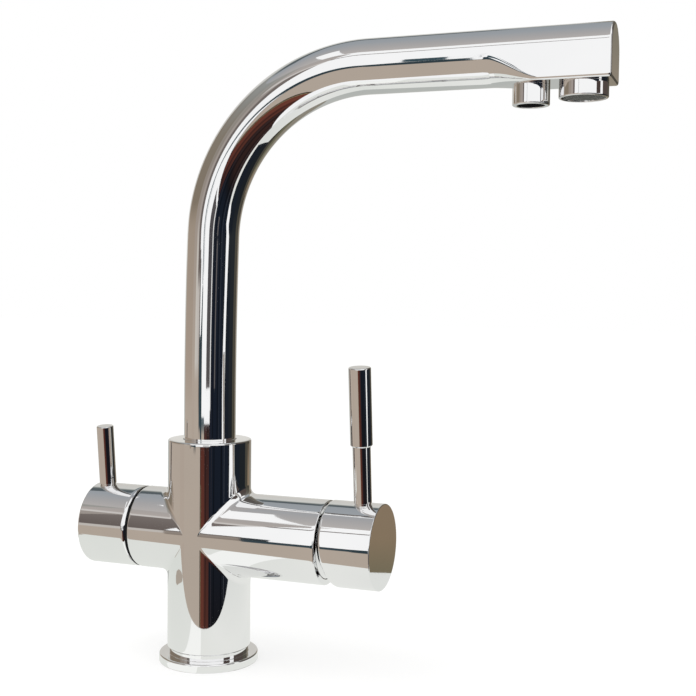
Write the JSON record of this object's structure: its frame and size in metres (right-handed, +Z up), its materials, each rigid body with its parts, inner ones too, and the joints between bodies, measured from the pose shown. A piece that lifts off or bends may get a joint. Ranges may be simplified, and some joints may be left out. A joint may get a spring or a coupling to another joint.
{
  "type": "three-way kitchen tap",
  "caption": "Deck-mounted kitchen tap with a mixer arm, a filtered-water arm and a swivelling bent spout with two outlets.",
  "frame": {"origin": "centre of the column's foot on the deck", "axes": "+Z up along the column, +X along the mixer arm and the spout at rest, -Y towards the user"},
  "size_m": [0.2833, 0.054, 0.3313],
  "materials": {
    "polished_chrome": "mirror-polished chrome plating on brass",
    "bare_brass": "turned brass, unplated",
    "stainless_steel": "turned stainless steel",
    "screen_steel": "fine woven stainless screen",
    "black_rubber": "moulded black rubber",
    "black_plastic": "matt black low-friction plastic",
    "pale_plastic": "moulded off-white plastic",
    "clear_hose_plastic": "milky food-grade tube",
    "valve_ceramic": "lapped white ceramic"
  },
  "bodies": {
    "tap_body": {"body_casting": "polished_chrome", "base_ring": "polished_chrome", "base_gasket": "black_rubber", "spout_retaining_screw": "stainless_steel", "mixer_cartridge_base": "pale_plastic", "mixer_port_seals": "black_rubber", "mixer_fixed_disc": "valve_ceramic", "mixer_cartridge_housing": "pale_plastic", "mixer_cartridge_nut": "bare_brass", "mixer_bonnet": "polished_chrome", "filter_valve_body": "bare_brass", "filter_valve_seal": "black_rubber", "filter_valve_o_ring": "black_rubber", "filter_fixed_disc": "valve_ceramic", "filter_glide_ring": "black_plastic"},
    "spout": {"spout_spigot": "bare_brass", "spout_o_rings": "black_rubber", "spout_slide_ring": "black_plastic", "spout_tube": "polished_chrome", "spout_head": "polished_chrome", "filter_pipe": "clear_hose_plastic", "main_aerator_housing": "polished_chrome", "main_aerator_insert": "pale_plastic", "main_aerator_screen": "screen_steel", "main_aerator_gasket": "black_rubber", "filter_outlet_nozzle": "polished_chrome", "filter_outlet_insert": "pale_plastic", "filter_outlet_gasket": "black_rubber"},
    "filter_handle": {"filter_knob": "polished_chrome", "filter_lever": "polished_chrome", "filter_spindle": "bare_brass", "filter_moving_disc": "valve_ceramic", "filter_spindle_o_ring": "black_rubber", "filter_set_screw": "stainless_steel"},
    "mixer_rotor": {"mixer_rotor": "pale_plastic", "mixer_pivot_pin": "stainless_steel"},
    "mixer_disc": {"mixer_moving_disc": "valve_ceramic", "mixer_disc_carrier": "pale_plastic"},
    "mixer_handle": {"mixer_stem": "stainless_steel", "mixer_knob": "polished_chrome", "mixer_lever": "polished_chrome", "mixer_lever_grip": "polished_chrome", "mixer_set_screw": "stainless_steel"}
  },
  "joints": [
    {"name": "spout_swivel", "type": "hinge", "parent": "tap_body", "child": "spout", "pos_m": [0, 0, 0.1], "axis": [0, 0, 1], "continuous": true},
    {"name": "filter_turn", "type": "hinge", "parent": "tap_body", "child": "filter_handle", "pos_m": [-0.05, 0, 0.0703], "axis": [1, 0, 0], "range_deg": [0, 84]},
    {"name": "mixer_temperature", "type": "hinge", "parent": "tap_body", "child": "mixer_rotor", "pos_m": [0.05593, 0, 0.0703], "axis": [1, 0, 0], "range_deg": [-50, 50]},
    {"name": "mixer_flow", "type": "hinge", "parent": "mixer_rotor", "child": "mixer_handle", "pos_m": [0.05593, 0, 0.0703], "axis": [0, 0.9945, 0.1045], "range_deg": [0, 20]},
    {"name": "mixer_disc_slide", "type": "slide", "parent": "mixer_rotor", "child": "mixer_disc", "axis": [0, -0.1045, 0.9945], "range_m": [0, 0.0028]}
  ],
  "couplings": [
    {"joint": "mixer_disc_slide", "follows": "mixer_flow", "m_per_rad": 0.0079}
  ]
}
